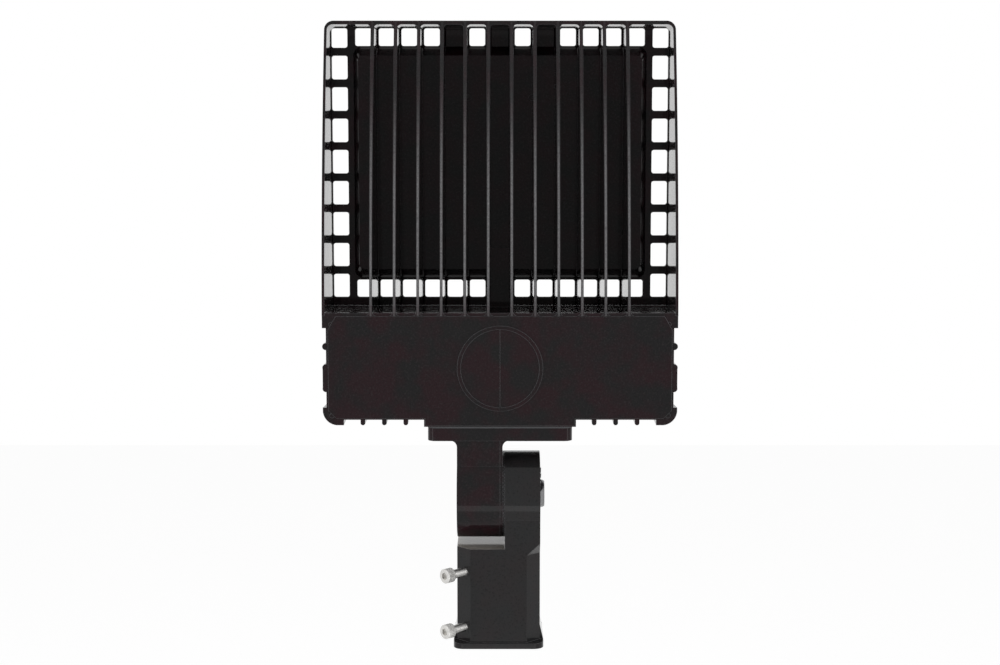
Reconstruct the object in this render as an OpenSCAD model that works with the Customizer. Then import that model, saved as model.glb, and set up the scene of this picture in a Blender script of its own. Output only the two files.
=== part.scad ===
// Area light on an adjustable slip fitter.
// Upright on its tenon: +Z runs up the tenon's axis, and the origin is at the mouth of the socket.
// The finned back faces -Y, and the lenses face +Y.

/* [Slip fitter] */
// Outside diameter of the tenon that the socket takes
tenon_d = 60.3; // [48:0.1:64]
// Radial clearance between the tenon and the socket
tenon_clearance = 0.45; // [0.2:0.05:0.8]
// Depth of the socket
socket_depth = 84; // [78:1:100]
// Wall of the fitter at its left and right
fitter_side_wall = 6.9; // [5:0.1:9]
// Wall of the fitter at its front and back
fitter_face_wall = 4.9; // [4:0.1:8]
// Width taken off each upright corner of the fitter
fitter_chamfer = 12; // [10:0.5:13]
// Thickness of the wall above the socket
socket_roof = 7; // [5:0.5:10]
// Height of the lip round the mouth
lip_h = 5; // [3:0.5:8]
// How far the lip stands out from the fitter's sides
lip_out = 3.2; // [1.5:0.1:5]
// Height of the flare above the lip
flare_h = 13.5; // [8:0.5:18]

/* [Clamp screws] */
// Thread diameter of the two clamp screws
clamp_d = 8; // [6:1:8]
// Length of a clamp screw under its head
clamp_len = 25; // [22:1:30]
// Height of the lower clamp screw above the mouth
clamp_low_z = 18.5; // [16:0.5:24]
// Distance between the two clamp screws
clamp_spacing = 51; // [40:1:56]
// How far each screw is backed out of its thread, from head to wall
clamp_backed_out = 17.2; // [14:0.1:20]

/* [Knuckle] */
// Radius of both round knuckle halves
knuckle_r = 39.5; // [36:0.5:42]
// Gap between the turning knuckle half and the top of the fitter
knuckle_gap = 4.5; // [2:0.5:8]
// Width of the upper knuckle half, up to the roots of its teeth
upper_knuckle_w = 41.1; // [38:0.1:43]
// Number of teeth in each serrated ring
tooth_count = 72; // [36:12:72]
// Height of a tooth at the rim
tooth_h = 1.7; // [1:0.1:2]
// Clearance between the two sets of teeth
tooth_gap = 0.3; // [0.2:0.05:0.5]
// Width of each serrated ring
tooth_ring_w = 12; // [8:0.5:13]
// Diameter of the pivot bolt
pivot_d = 12; // [10:1:14]
// Radial clearance of the parts that turn on a bolt or screw
running_clearance = 0.05; // [0.02:0.01:0.1]
// Depth of the upper knuckle's neck, front to back
neck_d = 52; // [44:1:54]
// Height of the neck's flange above the pivot
neck_reach = 53.3; // [50:0.5:70]
// Width of the bracket's flange
flange_w = 130; // [124:1:134]
// Depth of the bracket's flange, front to back
flange_d = 56; // [54:1:60]
// Thickness of the bracket's flange
flange_t = 11.7; // [10:0.1:14]
// Sideways offset of the head from the tenon's axis
head_offset = 1.3; // [0:0.1:3]
// Diameter of the wire passages
wireway_d = 16; // [12:0.5:18]

/* [Driver box] */
// Thickness of the bracket's gasket
bracket_gasket_t = 1.6; // [1:0.1:3]
// Depth of the head, front to back
head_d = 84; // [80:1:90]
// How far the head's back lies behind the tenon's axis
back_reach = 31; // [29:0.5:33]
// Height of the driver box's back face
box_h = 93.4; // [92:0.1:110]
// Wall thickness of the driver box
box_wall = 3.5; // [2.5:0.1:4.5]
// How far the side ribs and corner blocks stand out
rib_out = 3.4; // [2.5:0.1:4]
// Thickness of a side rib
side_rib_t = 6.3; // [4:0.1:8]
// Spacing of the side ribs
side_rib_pitch = 18.9; // [16:0.1:20]
// Thickness of a bottom rib
bottom_rib_t = 4.2; // [3:0.1:6]
// Spacing of the bottom ribs
bottom_rib_pitch = 19.2; // [12:0.1:20]
// How far the mounting pad stands below the box's floor
pad_drop = 6.4; // [6:0.1:8]
// Width of the mounting pad
pad_w = 136; // [134:1:140]
// Radius of the outer corners of the lower corner blocks
corner_r = 13.6; // [8:0.1:15]
// Height of the raised panel on the driver box's back
panel_h = 1; // [0.5:0.1:2]
// Radius of the closed sensor boss on the back
sensor_boss_r = 38.3; // [30:0.1:40]
// Thickness of the driver cover
cover_t = 3; // [2:0.1:4]
// Thickness of the cover's gasket
cover_gasket_t = 1.5; // [1:0.1:2]

/* [Finned section] */
// Height of the finned section above the driver box
fin_zone_h = 262.8; // [240:0.1:290]
// Width of the head over its rim
rim_w = 317; // [300:0.1:330]
// Slope of the fins' back edges where they leave the driver box
back_slope = 4; // [2:0.1:6]
// Radius of the long curve that takes the back forward to the tip
back_curve_r = 1160; // [1100:10:1400]
// Thickness of the vented flange
vent_flange_t = 4; // [3:0.1:6]
// Number of fins
fin_count = 12; // [8:2:12]
// Distance from the rim's outer side to the middle of the outermost fin
fin_margin = 43.55; // [40:0.05:50]
// Thickness of a fin at its back edge
fin_edge_t = 2.4; // [1.8:0.1:3.5]
// Draft angle on each side of a fin
fin_draft = 0.5; // [0.3:0.1:1]
// Radius of the fillet along a fin's root
fin_root_r = 1; // [0.5:0.1:3]
// Thickness of the rim's side wall
rim_edge_t = 2.4; // [2:0.1:4]
// Radius of the fillet inside the rim's side wall
rim_root_r = 0.8; // [0.5:0.1:3]
// Thickness of the rim's tip wall
tip_wall_t = 3.4; // [2.5:0.1:5]
// Radius of the fillet inside the tip wall
tip_root_r = 0.8; // [0.5:0.1:3]
// Radius of the rim's outer corners at the tip
tip_corner_r = 8; // [4:0.5:12]
// Width of a side vent
vent_w = 14.6; // [10:0.1:15]
// Height of a side vent
vent_h = 21.6; // [16:0.1:22]
// Width of the bar between two side vents
vent_bar = 7.2; // [5:0.1:10]
// Height of the vents in the row next to the driver box
low_vent_h = 16.2; // [12:0.1:18]
// Solid strip between the driver box and the first vents
vent_foot = 10.4; // [9:0.1:16]
// Corner radius of the vents
vent_r = 2.2; // [1:0.1:4]
// How far the light chamber's floor bulges back from the flange
pan_bulge = 12; // [10:0.5:14]
// Thickness of the light chamber's floor
pan_floor_t = 4.5; // [4:0.1:6]

/* [Light engine] */
// Thickness of an LED board
board_t = 1.6; // [1:0.1:2]
// Thickness of a lens gasket
lens_gasket_t = 2.2; // [1.8:0.1:3]
// Thickness of a lens plate between its lenses
lens_plate_t = 3.2; // [2.5:0.1:4]
// Height of a lens above its plate
lens_h = 4.6; // [3:0.1:5]
// Radius of a lens at its foot
lens_r = 7.4; // [5:0.1:8]
// Spacing of the lenses
lens_pitch = 18.2; // [16.5:0.1:22]

/* [Hidden] */
$fn = 64;

eps = 0.01;
cut = 1;
snug = 0.05;
loose = 0.3;
black = [0.13, 0.13, 0.14];
steel = [0.72, 0.72, 0.74];
rubber = [0.2, 0.2, 0.21];

// Slip fitter
bore_r = tenon_d / 2 + tenon_clearance;
fitter_x = bore_r + fitter_side_wall;
fitter_y = bore_r + fitter_face_wall;
socket_top = socket_depth + socket_roof;
chamfer_plane = (fitter_x + fitter_y - fitter_chamfer) / sqrt(2);
corner_plane = (fitter_x + fitter_y) / sqrt(2);
runout_z = socket_top - 5.6;
lip_r = 9;
runout_rise = 1.3;
clamp_head_r = 0.8125 * clamp_d;
clamp_head_h = clamp_d;
clamp_key_r = 0.43 * clamp_d;
clamp_angle = 225;

// Knuckle
pivot_z = socket_top + knuckle_gap + knuckle_r;
pivot_r = pivot_d / 2;
pivot_hole_r = pivot_r + running_clearance;
upper_left = -fitter_x;
upper_root = upper_left + upper_knuckle_w;
lower_root = upper_root + tooth_h + tooth_gap;
lower_right = fitter_x;
tooth_rim = knuckle_r - 0.2;
tooth_base = 1.5;
pocket_r = knuckle_r - tooth_ring_w - 3;
hub_r = pivot_r + 4;
upper_pocket = 24;
lower_pocket = 16;
spotface_depth = 2.5;
washer_r = 1.22 * pivot_d;
washer_t = 2;
bolt_head_r = 1.16 * pivot_d;
bolt_head_h = 4.8;
nut_r = 0.92 * pivot_d;
nut_h = 0.85 * pivot_d;
nut_pocket = nut_h + 1;
bolt_tip = upper_left + 0.4;
upper_wireway_x = upper_root - upper_pocket / 2 - 2;
lower_wireway_x = lower_root + lower_pocket / 2;
flange_bottom = pivot_z + neck_reach;
flange_top = flange_bottom + flange_t;
flange_r = 8;
neck_fillet = 6;
parting_x = 1;
parting_w = 0.5;
parting_h = 0.2;
bolt_x = 50;
bolt_y = 17;
bracket_bolt_r = 4;
bracket_thread = flange_t - 2.5;
bracket_washer_t = 1.6;

// Each kind of small screw: radius of its thread, radius of its head and height of its head
cover_screw = [2.1, 4, 2.6];
inner_screw = [2, 3.8, 2.2];
block_screw = [2, 3, 1.6];
board_screw = [1.5, 2.6, 1.2];
lens_screw = [1.5, 2.8, 1.8];

// Driver box
back = -back_reach;
front = back + head_d;
pad_z = flange_top + bracket_gasket_t;
box_z = pad_z + pad_drop;
box_top = box_z + box_h;
rim_x = rim_w / 2;
outer_x = rim_x;
box_x = outer_x - rib_out;
cover_back = front - cover_t;
box_front = cover_back - cover_gasket_t;
cover_split = box_top + 2.6;
cover_top = cover_split - 0.3;
pocket_floor = box_z + box_wall + 1;
pocket_top = box_top - box_wall;
pocket_x = box_x - box_wall - 1;
corner_block_w = 18.8;
block_bottom = box_z - 5;
block_top = block_bottom + 16;
screw_in = 4.9;
ear_z = box_top - 11;
cover_boss_r = 7;
cover_screw_len = 16;
first_rib_z = box_top - 27.5;
last_bottom_rib = outer_x - corner_block_w - 17;
panel_x = box_x - 1.8;
panel_cut = [7, 12];
pip_r = 2.2;
corner_rows = [box_top - 7.6, block_bottom + 8.8];
cover_rows = [each corner_rows, first_rib_z - 1.5 * side_rib_pitch];
cover_screw_points = [for (side = [-1, 1], z = cover_rows) [side * (box_x - screw_in), z]];
bolt_points = [for (sx = [-1, 1], sy = [-1, 1]) [sx * bolt_x, sy * bolt_y]];
sensor_z = box_top - box_h / 2 - 0.4;

// Parts in the driver box
stand_h = 3.5;
driver_d = 36;
driver_h = 60;
driver_tab = 11;
side_gap = 8;
driver_cz = (pocket_floor + pocket_top) / 2 + 2;
driver_seat = back + box_wall + stand_h;
tab_t = 2;
inner_thread = 3.5;
surge_w = 46;
surge_h = 34;
surge_d = 26;
surge_tab = 9;
surge_cx = -pocket_x + side_gap + surge_tab + surge_w / 2;
surge_cz = pocket_top - 26;
driver_w = 2 * pocket_x - 2.5 * side_gap - 2 * driver_tab - surge_w - 2 * surge_tab;
driver_cx = pocket_x - side_gap - driver_tab - driver_w / 2;
driver_ends = [for (side = [-1, 1]) driver_cx + side * (driver_w + driver_tab) / 2];
surge_holes = [for (side = [-1, 1]) surge_cx + side * (surge_w + surge_tab) / 2];
block_w = 34;
block_h = 20;
block_d = 17;
block_cx = surge_cx;
block_cz = pocket_floor + 20;
block_pole = 10;
block_holes = [for (side = [-1, 1]) block_cx + side * block_pole / 2];
inner_holes = [
    for (x = driver_ends) [x, driver_cz],
    for (x = surge_holes) [x, surge_cz],
    for (x = block_holes) [x, block_cz]
];

// Finned section
tip = box_top + fin_zone_h;
tip_inner = tip - tip_wall_t;
flange_y = front - vent_flange_t;
curve_y = back + back_curve_r * cos(back_slope);
curve_z = box_top - back_curve_r * sin(back_slope);
half_span = (fin_count - 1) / 2;
fin_pitch = (rim_w - 2 * fin_margin) / (fin_count - 1);
fin_x = [for (i = [0:fin_count - 1]) (i - half_span) * fin_pitch];
fin_root = fin_edge_t / 2 + (flange_y - back) * tan(fin_draft);
fin_fillet = 4;
rim_corner_r = 5;
vent_x0 = rim_x - rim_edge_t - rim_root_r - vent_w;
vent_z0 = box_top + vent_foot;
vent_step = vent_h + vent_bar;
row_top = tip_inner - tip_root_r;
vent_rows = floor((row_top - vent_z0 - 9) / vent_step) + 1;
top_row_z = vent_z0 + (vent_rows - 1) * vent_step;
column_bar = 7.2;
bay_gap = fin_root + 1.3;
centre_bay = fin_count / 2 - 1;
solid_top_bays = [centre_bay - 2, centre_bay, centre_bay + 2];
pan_x = vent_x0 - 5.4;
pan_low = vent_z0 + low_vent_h + 1.6;
pan_high = top_row_z + 1;
pan_side_run = 5.2;
pan_end_run = 8.9;
pan_back = flange_y - pan_bulge;
pan_seat = pan_back + pan_floor_t;
well_x = pan_x - pan_side_run - 1.5;
well_low = pan_low + pan_end_run + 2.5;
well_high = pan_high - pan_end_run - 2.5;
well_r = 6;
pin_r = 2.8;
fin_pins = [for (side = [-1, 1]) [side * 2.5 * fin_pitch, top_row_z - 36]];
floor_pins = [for (side = [-1, 1]) [side * 1.4 * fin_pitch, top_row_z - 46]];
lead_r = 2.5;
duct_r = lead_r + 0.9;
duct_y = pan_back - 3;
duct_back = duct_y - duct_r - 1.6;
collar_h = 3;
sleeve_h = 12;

// Light engine: four boards under one lens plate
well_margin = 1;
plate_x = well_x - well_margin;
plate_low = well_low + well_margin;
plate_high = well_high - well_margin;
plate_r = well_r - well_margin;
seal_w = 8;
board_gap = 6;
board_edge = 1;
window_x = plate_x - seal_w;
window_low = plate_low + seal_w;
window_high = plate_high - seal_w;
duct_z = window_low + lead_r + 1;
board_w = window_x - board_edge - board_gap / 2;
board_h = (window_high - window_low - board_gap) / 2 - board_edge;
well_cz = (well_low + well_high) / 2;
board_centres = [
    for (sx = [-1, 1], sz = [-1, 1])
        [sx * (board_w + board_gap) / 2, well_cz + sz * (board_h + board_gap) / 2]
];
board_front = pan_seat + board_t;
plate_back = pan_seat + lens_gasket_t;
plate_front = plate_back + lens_plate_t;
lens_pocket = 1;
lens_cols = floor((board_w - 2 * lens_r) / lens_pitch) + 1;
lens_rows = floor((board_h - 2 * lens_r) / lens_pitch) + 1;
lens_sphere_r = (lens_r * lens_r + lens_h * lens_h) / (2 * lens_h);
lens_points = [
    for (c = board_centres, i = [0:lens_cols - 1], j = [0:lens_rows - 1])
        c + lens_pitch * [i - (lens_cols - 1) / 2, j - (lens_rows - 1) / 2]
];
chip_w = 3.5;
chip_h = 0.7;
small_thread = 3;
screws_across = 5;
screws_up = 4;
seal_x = plate_x - seal_w / 2;
seal_low = plate_low + seal_w / 2;
seal_high = plate_high - seal_w / 2;
lens_screw_points = [
    for (i = [0:screws_across - 1], z = [seal_low, seal_high])
        [seal_x * (2 * i / (screws_across - 1) - 1), z],
    for (side = [-1, 1], k = [1:screws_up - 2])
        [side * seal_x, seal_low + (seal_high - seal_low) * k / (screws_up - 1)]
];
board_screw_points = [
    for (c = board_centres, side = [-1, 1])
        c + [side * lens_pitch * (lens_cols % 2 == 0 ? 1 : 0.5), 0]
];

// Draws a plan in X and Z, and gives it the depth from y0 to y1.
module along_y(y0, y1) {
    translate([0, y1, 0]) rotate([90, 0, 0]) linear_extrude(height = y1 - y0) children();
}

// Draws a profile in Y and Z, and gives it the width from x0 to x1.
module along_x(x0, x1) {
    translate([x0, 0, 0]) rotate([90, 0, 90]) linear_extrude(height = x1 - x0) children();
}

// A cylinder along X from x0 to x1, round the pivot's axis.
module pivot_cylinder(x0, x1, r) {
    translate([x0, 0, pivot_z]) rotate([0, 90, 0]) cylinder(h = x1 - x0, r = r);
}

// A cylinder along Y at x and z, from y0 to y1.
module y_cylinder(p, y0, y1, r) {
    translate([p.x, y1, p.y]) rotate([90, 0, 0]) cylinder(h = y1 - y0, r = r);
}

// A rectangle with true round corners, from low to high.
module round_rect(low, high, r) {
    size = high - low;
    translate(low + [r, 0]) square([size.x - 2 * r, size.y]);
    translate(low + [0, r]) square([size.x, size.y - 2 * r]);
    for (x = [low.x + r, high.x - r], y = [low.y + r, high.y - r]) translate([x, y]) circle(r);
}

// A rectangle about the middle, with its corners cut off at 45 degrees.
module cut_rect(w, h, c) {
    polygon([
        for (s = [[1, 1], [-1, 1], [-1, -1], [1, -1]])
            let (a = [s.x * (w / 2 - c), s.y * h / 2], b = [s.x * w / 2, s.y * (h / 2 - c)])
                each (s.x * s.y > 0 ? [b, a] : [a, b])
    ]);
}

// A ring of V-shaped teeth about Z. The roots lie at z = 0 and the teeth rise to h at r_out.
module tooth_ring(count, r_in, r_out, h, base, phase) {
    n = 2 * count;
    at = function(r, i, z) [r * cos(i * 180 / count + phase), r * sin(i * 180 / count + phase), z];
    top = function(r, i) (i % 2) * h * r / r_out;
    rings = [
        [for (i = [0:n - 1]) at(r_in, i, -base)],
        [for (i = [0:n - 1]) at(r_out, i, -base)],
        [for (i = [0:n - 1]) at(r_out, i, top(r_out, i))],
        [for (i = [0:n - 1]) at(r_in, i, top(r_in, i))]
    ];
    polyhedron(
        points = [for (ring = rings) each ring],
        faces = [
            for (k = [0:3], i = [0:n - 1])
                let (j = (i + 1) % n, m = (k + 1) % 4)
                    each [[k * n + i, m * n + i, m * n + j], [k * n + i, m * n + j, k * n + j]]
        ]
    );
}

// A screw of the given kind, with its thread from the seat towards -Y and its domed head towards +Y.
module y_screw(p, seat, kind, len) {
    dome_r = 2 * kind.y;
    translate([p.x, seat, p.y]) rotate([-90, 0, 0]) {
        translate([0, 0, -len]) cylinder(h = len + eps, r = kind.x);
        difference() {
            rotate_extrude() intersection() {
                square([kind.y, kind.z]);
                translate([0, kind.z - dome_r]) circle(dome_r);
            }
            translate([0, 0, kind.z / 2]) cylinder(h = kind.z, r = kind.y * 0.42, $fn = 6);
        }
    }
}

// ---- slip fitter ----

// Takes one upright corner off, with a sloped run-out at the top.
module corner_cut(angle) {
    d = corner_plane - chamfer_plane + cut;
    reach = 2 * fitter_chamfer;
    rotate([0, 0, angle]) translate([chamfer_plane, 0, 0])
        rotate([90, 0, 0]) translate([0, 0, -reach]) linear_extrude(height = 2 * reach)
            polygon([[0, -cut], [d, -cut], [d, runout_z + runout_rise * d], [0, runout_z]]);
}

// The lip round the mouth, and the flare that leads up from it to the fitter's left and right sides.
module lip() {
    reach = [fitter_x + lip_out, fitter_y + lip_out];
    flat = fitter_y - fitter_chamfer;
    linear_extrude(height = lip_h) round_rect(-reach, reach, lip_r);
    along_y(-flat, flat) polygon([
        [-reach.x, lip_h - eps], [reach.x, lip_h - eps], [fitter_x, lip_h + flare_h],
        [-fitter_x, lip_h + flare_h]
    ]);
}

// The two corners under the lower knuckle half.
module corner_cuts() {
    for (angle = [45, -45]) corner_cut(angle);
}

module clamp_hole(z) {
    translate([0, 0, z]) rotate([0, 0, clamp_angle]) rotate([0, 90, 0])
        cylinder(h = chamfer_plane + cut, r = clamp_d / 2 + running_clearance);
}

module slip_fitter() color(black) {
    split = lower_root;
    difference() {
        union() {
            linear_extrude(height = socket_top)
                cut_rect(2 * fitter_x, 2 * fitter_y, fitter_chamfer);
            lip();
            difference() {
                translate([split, -fitter_y, flare_h + lip_h + cut])
                    cube([fitter_x - split, 2 * fitter_y, pivot_z - flare_h - lip_h - cut]);
                corner_cuts();
            }
            pivot_cylinder(split, lower_right, knuckle_r);
            translate([lower_root, 0, pivot_z]) rotate([0, -90, 0])
                tooth_ring(tooth_count, knuckle_r - tooth_ring_w, tooth_rim, tooth_h, tooth_base,
                    180 / tooth_count);
            index_marks();
        }
        translate([0, 0, -cut]) cylinder(h = socket_depth + cut, r = bore_r);
        for (z = [clamp_low_z, clamp_low_z + clamp_spacing]) clamp_hole(z);
        difference() {
            pivot_cylinder(split - cut, split + lower_pocket, pocket_r);
            pivot_cylinder(split - 2 * cut, split + lower_pocket + cut, hub_r);
        }
        pivot_cylinder(split - cut, lower_right + cut, pivot_hole_r);
        pivot_cylinder(lower_right - spotface_depth, lower_right + cut, washer_r + 2 * loose);
        translate([lower_wireway_x, 0, socket_depth - cut])
            cylinder(h = pivot_z - hub_r - 1 - socket_depth, r = wireway_d / 2);
    }
}

// Three raised marks on the outer face show the angle of the knuckle.
module index_marks() {
    for (a = [40:10:60]) translate([lower_right, 0, pivot_z]) rotate([a, 0, 0])
        translate([-eps, -0.6, knuckle_r - 9]) cube([0.8, 1.2, 6]);
}

// The bolt's hexagonal head stands on its washer, with its corners turned down.
module pivot_bolt() color(black) {
    seat = lower_right - spotface_depth + washer_t;
    pivot_cylinder(bolt_tip, seat + eps, pivot_r);
    translate([seat, 0, pivot_z]) rotate([0, 90, 0]) intersection() {
        rotate([0, 0, 12]) cylinder(h = bolt_head_h, r = bolt_head_r, $fn = 6);
        cylinder(h = bolt_head_h, r1 = bolt_head_r + 1, r2 = bolt_head_r * 0.82);
    }
}

module pivot_washer() color(steel) {
    difference() {
        pivot_cylinder(lower_right - spotface_depth, lower_right - spotface_depth + washer_t, washer_r);
        pivot_cylinder(0, lower_right, pivot_hole_r);
    }
}

// A socket head cap screw along X, with its head's underside at x = seat and its tip at seat - len.
module clamp_screw(z) {
    seat = chamfer_plane + clamp_backed_out;
    translate([0, 0, z]) rotate([0, 0, clamp_angle]) translate([seat, 0, 0]) rotate([0, 90, 0]) {
        translate([0, 0, 0.8 - clamp_len]) cylinder(h = clamp_len - 0.8, r = clamp_d / 2);
        translate([0, 0, -clamp_len]) cylinder(h = 0.8, r1 = clamp_d / 2 - 0.8, r2 = clamp_d / 2);
        difference() {
            union() {
                cylinder(h = clamp_head_h - 0.6, r = clamp_head_r);
                translate([0, 0, clamp_head_h - 0.6])
                    cylinder(h = 0.6, r1 = clamp_head_r, r2 = clamp_head_r - 0.6);
            }
            translate([0, 0, clamp_head_h / 2])
                cylinder(h = clamp_head_h, r = clamp_key_r, $fn = 6);
        }
    }
}

module clamp_screw_lower() color(steel) {
    clamp_screw(clamp_low_z);
}

module clamp_screw_upper() color(steel) {
    clamp_screw(clamp_low_z + clamp_spacing);
}

// ---- bracket ----

module flange_plan(r) {
    round_rect([-flange_w / 2, -flange_d / 2], [flange_w / 2, flange_d / 2], r);
}

module neck_fillets() {
    z = flange_bottom;
    along_y(-neck_d / 2, neck_d / 2) difference() {
        translate([upper_left - neck_fillet, z - neck_fillet])
            square([upper_knuckle_w + 2 * neck_fillet, neck_fillet + eps]);
        for (x = [upper_left - neck_fillet, upper_root + neck_fillet])
            translate([x, z - neck_fillet]) circle(neck_fillet);
    }
}

// The thin bead that the mould's parting leaves round the knuckle and down the neck.
module parting_bead() {
    pivot_cylinder(parting_x, parting_x + parting_w, knuckle_r + parting_h);
    translate([parting_x, -neck_d / 2 - parting_h, pivot_z])
        cube([parting_w, neck_d + 2 * parting_h, neck_reach]);
}

module mounting_bracket() color(black) {
    difference() {
        union() {
            parting_bead();
            pivot_cylinder(upper_left, upper_root, knuckle_r);
            translate([upper_left, -neck_d / 2, pivot_z])
                cube([upper_knuckle_w, neck_d, neck_reach + eps]);
            neck_fillets();
            translate([head_offset, 0, flange_bottom]) linear_extrude(height = flange_t)
                flange_plan(flange_r);
            translate([upper_root, 0, pivot_z]) rotate([0, 90, 0])
                tooth_ring(tooth_count, knuckle_r - tooth_ring_w, tooth_rim, tooth_h, tooth_base, 0);
        }
        difference() {
            pivot_cylinder(upper_root - upper_pocket, upper_root + cut, pocket_r);
            pivot_cylinder(upper_root - upper_pocket - cut, upper_root + 2 * cut, hub_r);
        }
        pivot_cylinder(upper_left - cut, upper_root + cut, pivot_hole_r);
        translate([upper_left - cut, 0, pivot_z]) rotate([0, 90, 0])
            cylinder(h = nut_pocket + cut, r = nut_r + loose, $fn = 6);
        translate([upper_wireway_x, 0, pivot_z + hub_r + 1])
            cylinder(h = flange_top - pivot_z, r = wireway_d / 2);
        for (p = bolt_points) translate([head_offset + p.x, p.y, flange_top - bracket_thread])
            cylinder(h = bracket_thread + cut, r = bracket_bolt_r + snug);
    }
}

module pivot_nut() color(steel) {
    difference() {
        translate([upper_left + nut_pocket - nut_h, 0, pivot_z]) rotate([0, 90, 0])
            cylinder(h = nut_h, r = nut_r, $fn = 6);
        pivot_cylinder(upper_left, 0, pivot_hole_r);
    }
}

module bracket_gasket() color(rubber) {
    translate([head_offset, 0, flange_top]) linear_extrude(height = bracket_gasket_t) difference() {
        flange_plan(flange_r);
        translate([upper_wireway_x - head_offset, 0]) circle(wireway_d / 2);
        for (p = bolt_points) translate(p) circle(bracket_bolt_r + loose);
    }
}

module bracket_washers() color(steel) {
    for (p = bolt_points) translate([head_offset + p.x, p.y, pocket_floor]) difference() {
        cylinder(h = bracket_washer_t, r = 2 * bracket_bolt_r);
        translate([0, 0, -cut]) cylinder(h = bracket_washer_t + 2 * cut, r = bracket_bolt_r + loose);
    }
}

module bracket_bolts() color(steel) {
    seat = pocket_floor + bracket_washer_t;
    low = flange_top - bracket_thread + 1;
    for (p = bolt_points) translate([head_offset + p.x, p.y, 0]) {
        translate([0, 0, low]) cylinder(h = seat - low + eps, r = bracket_bolt_r);
        translate([0, 0, seat])
            cylinder(h = 1.3 * bracket_bolt_r, r = 1.8 * bracket_bolt_r, $fn = 6);
    }
}

// ---- housing ----

// The driver box seen from the back, with its ears and its mounting pad.
module box_plan() {
    translate([-box_x, box_z]) square([2 * box_x, box_h]);
    translate([-rim_x, ear_z]) square([rim_w, cover_split - ear_z]);
    translate([-pad_w / 2, pad_z]) square([pad_w, pad_drop + 1]);
}

// The ribs and blocks on the sides and the bottom, seen from the back.
module rib_plan() {
    for (m = [0, 1]) mirror([m, 0]) {
        for (i = [0:2]) side_rib(first_rib_z - i * side_rib_pitch);
        translate([box_x - 1, first_rib_z - 2 * side_rib_pitch])
            square([rib_out + 0.8, side_rib_pitch]);
        for (i = [0:2]) bottom_rib(last_bottom_rib - i * bottom_rib_pitch);
    }
    corner_blocks();
}

// The ribs stand out fully at the back, and run out into the box's walls at the cover.
module ribs() {
    intersection() {
        along_y(back + panel_h, box_front) rib_plan();
        translate([0, 0, block_bottom - cut]) linear_extrude(height = box_h) polygon([
            [-outer_x, back], [outer_x, back], [box_x, box_front], [-box_x, box_front]
        ]);
        along_x(-outer_x, outer_x) polygon([
            [back, block_bottom], [box_front, box_z], [box_front, box_top], [back, box_top]
        ]);
    }
}

// The raised panel on the back is cut across at its four corners.
module back_panel() {
    high = box_top - 0.5;
    low = box_z + 1.2;
    along_y(back, back + panel_h + 1) {
        polygon([
            [panel_x, low + panel_cut.x], [panel_x, high - panel_cut.y], [panel_x - panel_cut.x, high],
            [-panel_x + panel_cut.x, high], [-panel_x, high - panel_cut.y],
            [-panel_x, low + panel_cut.x], [-panel_x + panel_cut.x, low], [panel_x - panel_cut.x, low]
        ]);
        translate([-pad_w / 2 + 1.2, pad_z + 1.2]) square([pad_w - 2.4, pad_drop + 1]);
    }
}

module side_rib(z) {
    r = side_rib_t / 2;
    translate([outer_x - r, z]) circle(r);
    translate([box_x - r, z - r]) square([rib_out, side_rib_t]);
}

module bottom_rib(x) {
    r = bottom_rib_t / 2;
    translate([x, block_bottom + r]) circle(r);
    translate([x - r, block_bottom + r]) square([bottom_rib_t, box_z - block_bottom]);
}

// The two blocks at the lower corners are round at their outer corner only.
module corner_blocks() {
    for (m = [0, 1]) mirror([m, 0]) {
        translate([outer_x - corner_block_w, block_bottom])
            square([corner_block_w - corner_r, block_top - block_bottom]);
        translate([outer_x - corner_r - eps, block_bottom + corner_r])
            square([corner_r + eps, block_top - block_bottom - corner_r]);
        intersection() {
            translate([outer_x - corner_r, block_bottom + corner_r]) circle(corner_r);
            translate([outer_x - corner_r, block_bottom]) square(corner_r);
        }
    }
}

// The hollow of the driver box, which leaves a boss round each cover screw.
module box_hollow() {
    difference() {
        round_rect([-pocket_x, pocket_floor], [pocket_x, pocket_top], 4);
        for (p = cover_screw_points) translate(p) circle(cover_boss_r);
        for (side = [-1, 1]) translate([side * box_x, block_bottom])
            square(2 * (block_top - block_bottom), center = true);
    }
}

// The back of the head: upright over the driver box, then curved forward to a thin tip.
module back_profile() {
    translate([back + panel_h, pad_z]) square([head_d - panel_h, box_top - pad_z]);
    intersection() {
        translate([back, box_top - eps]) square([head_d, fin_zone_h + 2 * cut]);
        translate([curve_y, curve_z]) circle(back_curve_r, $fn = 720);
    }
}

module rim_plan() {
    r = tip_corner_r;
    difference() {
        translate([-rim_x, ear_z]) square([rim_w, tip - ear_z]);
        for (m = [0, 1]) mirror([m, 0]) difference() {
            translate([rim_x - r, tip - r]) square(2 * r);
            translate([rim_x - r, tip - r]) circle(r);
        }
    }
}

// Fills the corner at the origin, between +X and -Y, with a fillet of radius r.
module corner_fillet(r) {
    difference() {
        translate([-eps, -r]) square(r + eps);
        translate([r, -r]) circle(r);
    }
}

module rim_walls() {
    for (m = [0, 1]) mirror([m, 0, 0]) {
        translate([0, 0, ear_z]) linear_extrude(height = tip - ear_z) {
            translate([rim_x - rim_edge_t, back]) square([rim_edge_t, head_d]);
            translate([rim_x - rim_edge_t, flange_y]) mirror([1, 0]) corner_fillet(rim_root_r);
        }
        along_y(back, flange_y) translate([rim_x - rim_edge_t, tip_inner]) mirror([1, 0])
            corner_fillet(rim_corner_r);
    }
    along_x(-rim_x, rim_x) {
        translate([back, tip_inner]) square([head_d, tip_wall_t]);
        translate([flange_y, tip_inner]) mirror([1, 0]) corner_fillet(tip_root_r);
    }
}

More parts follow.
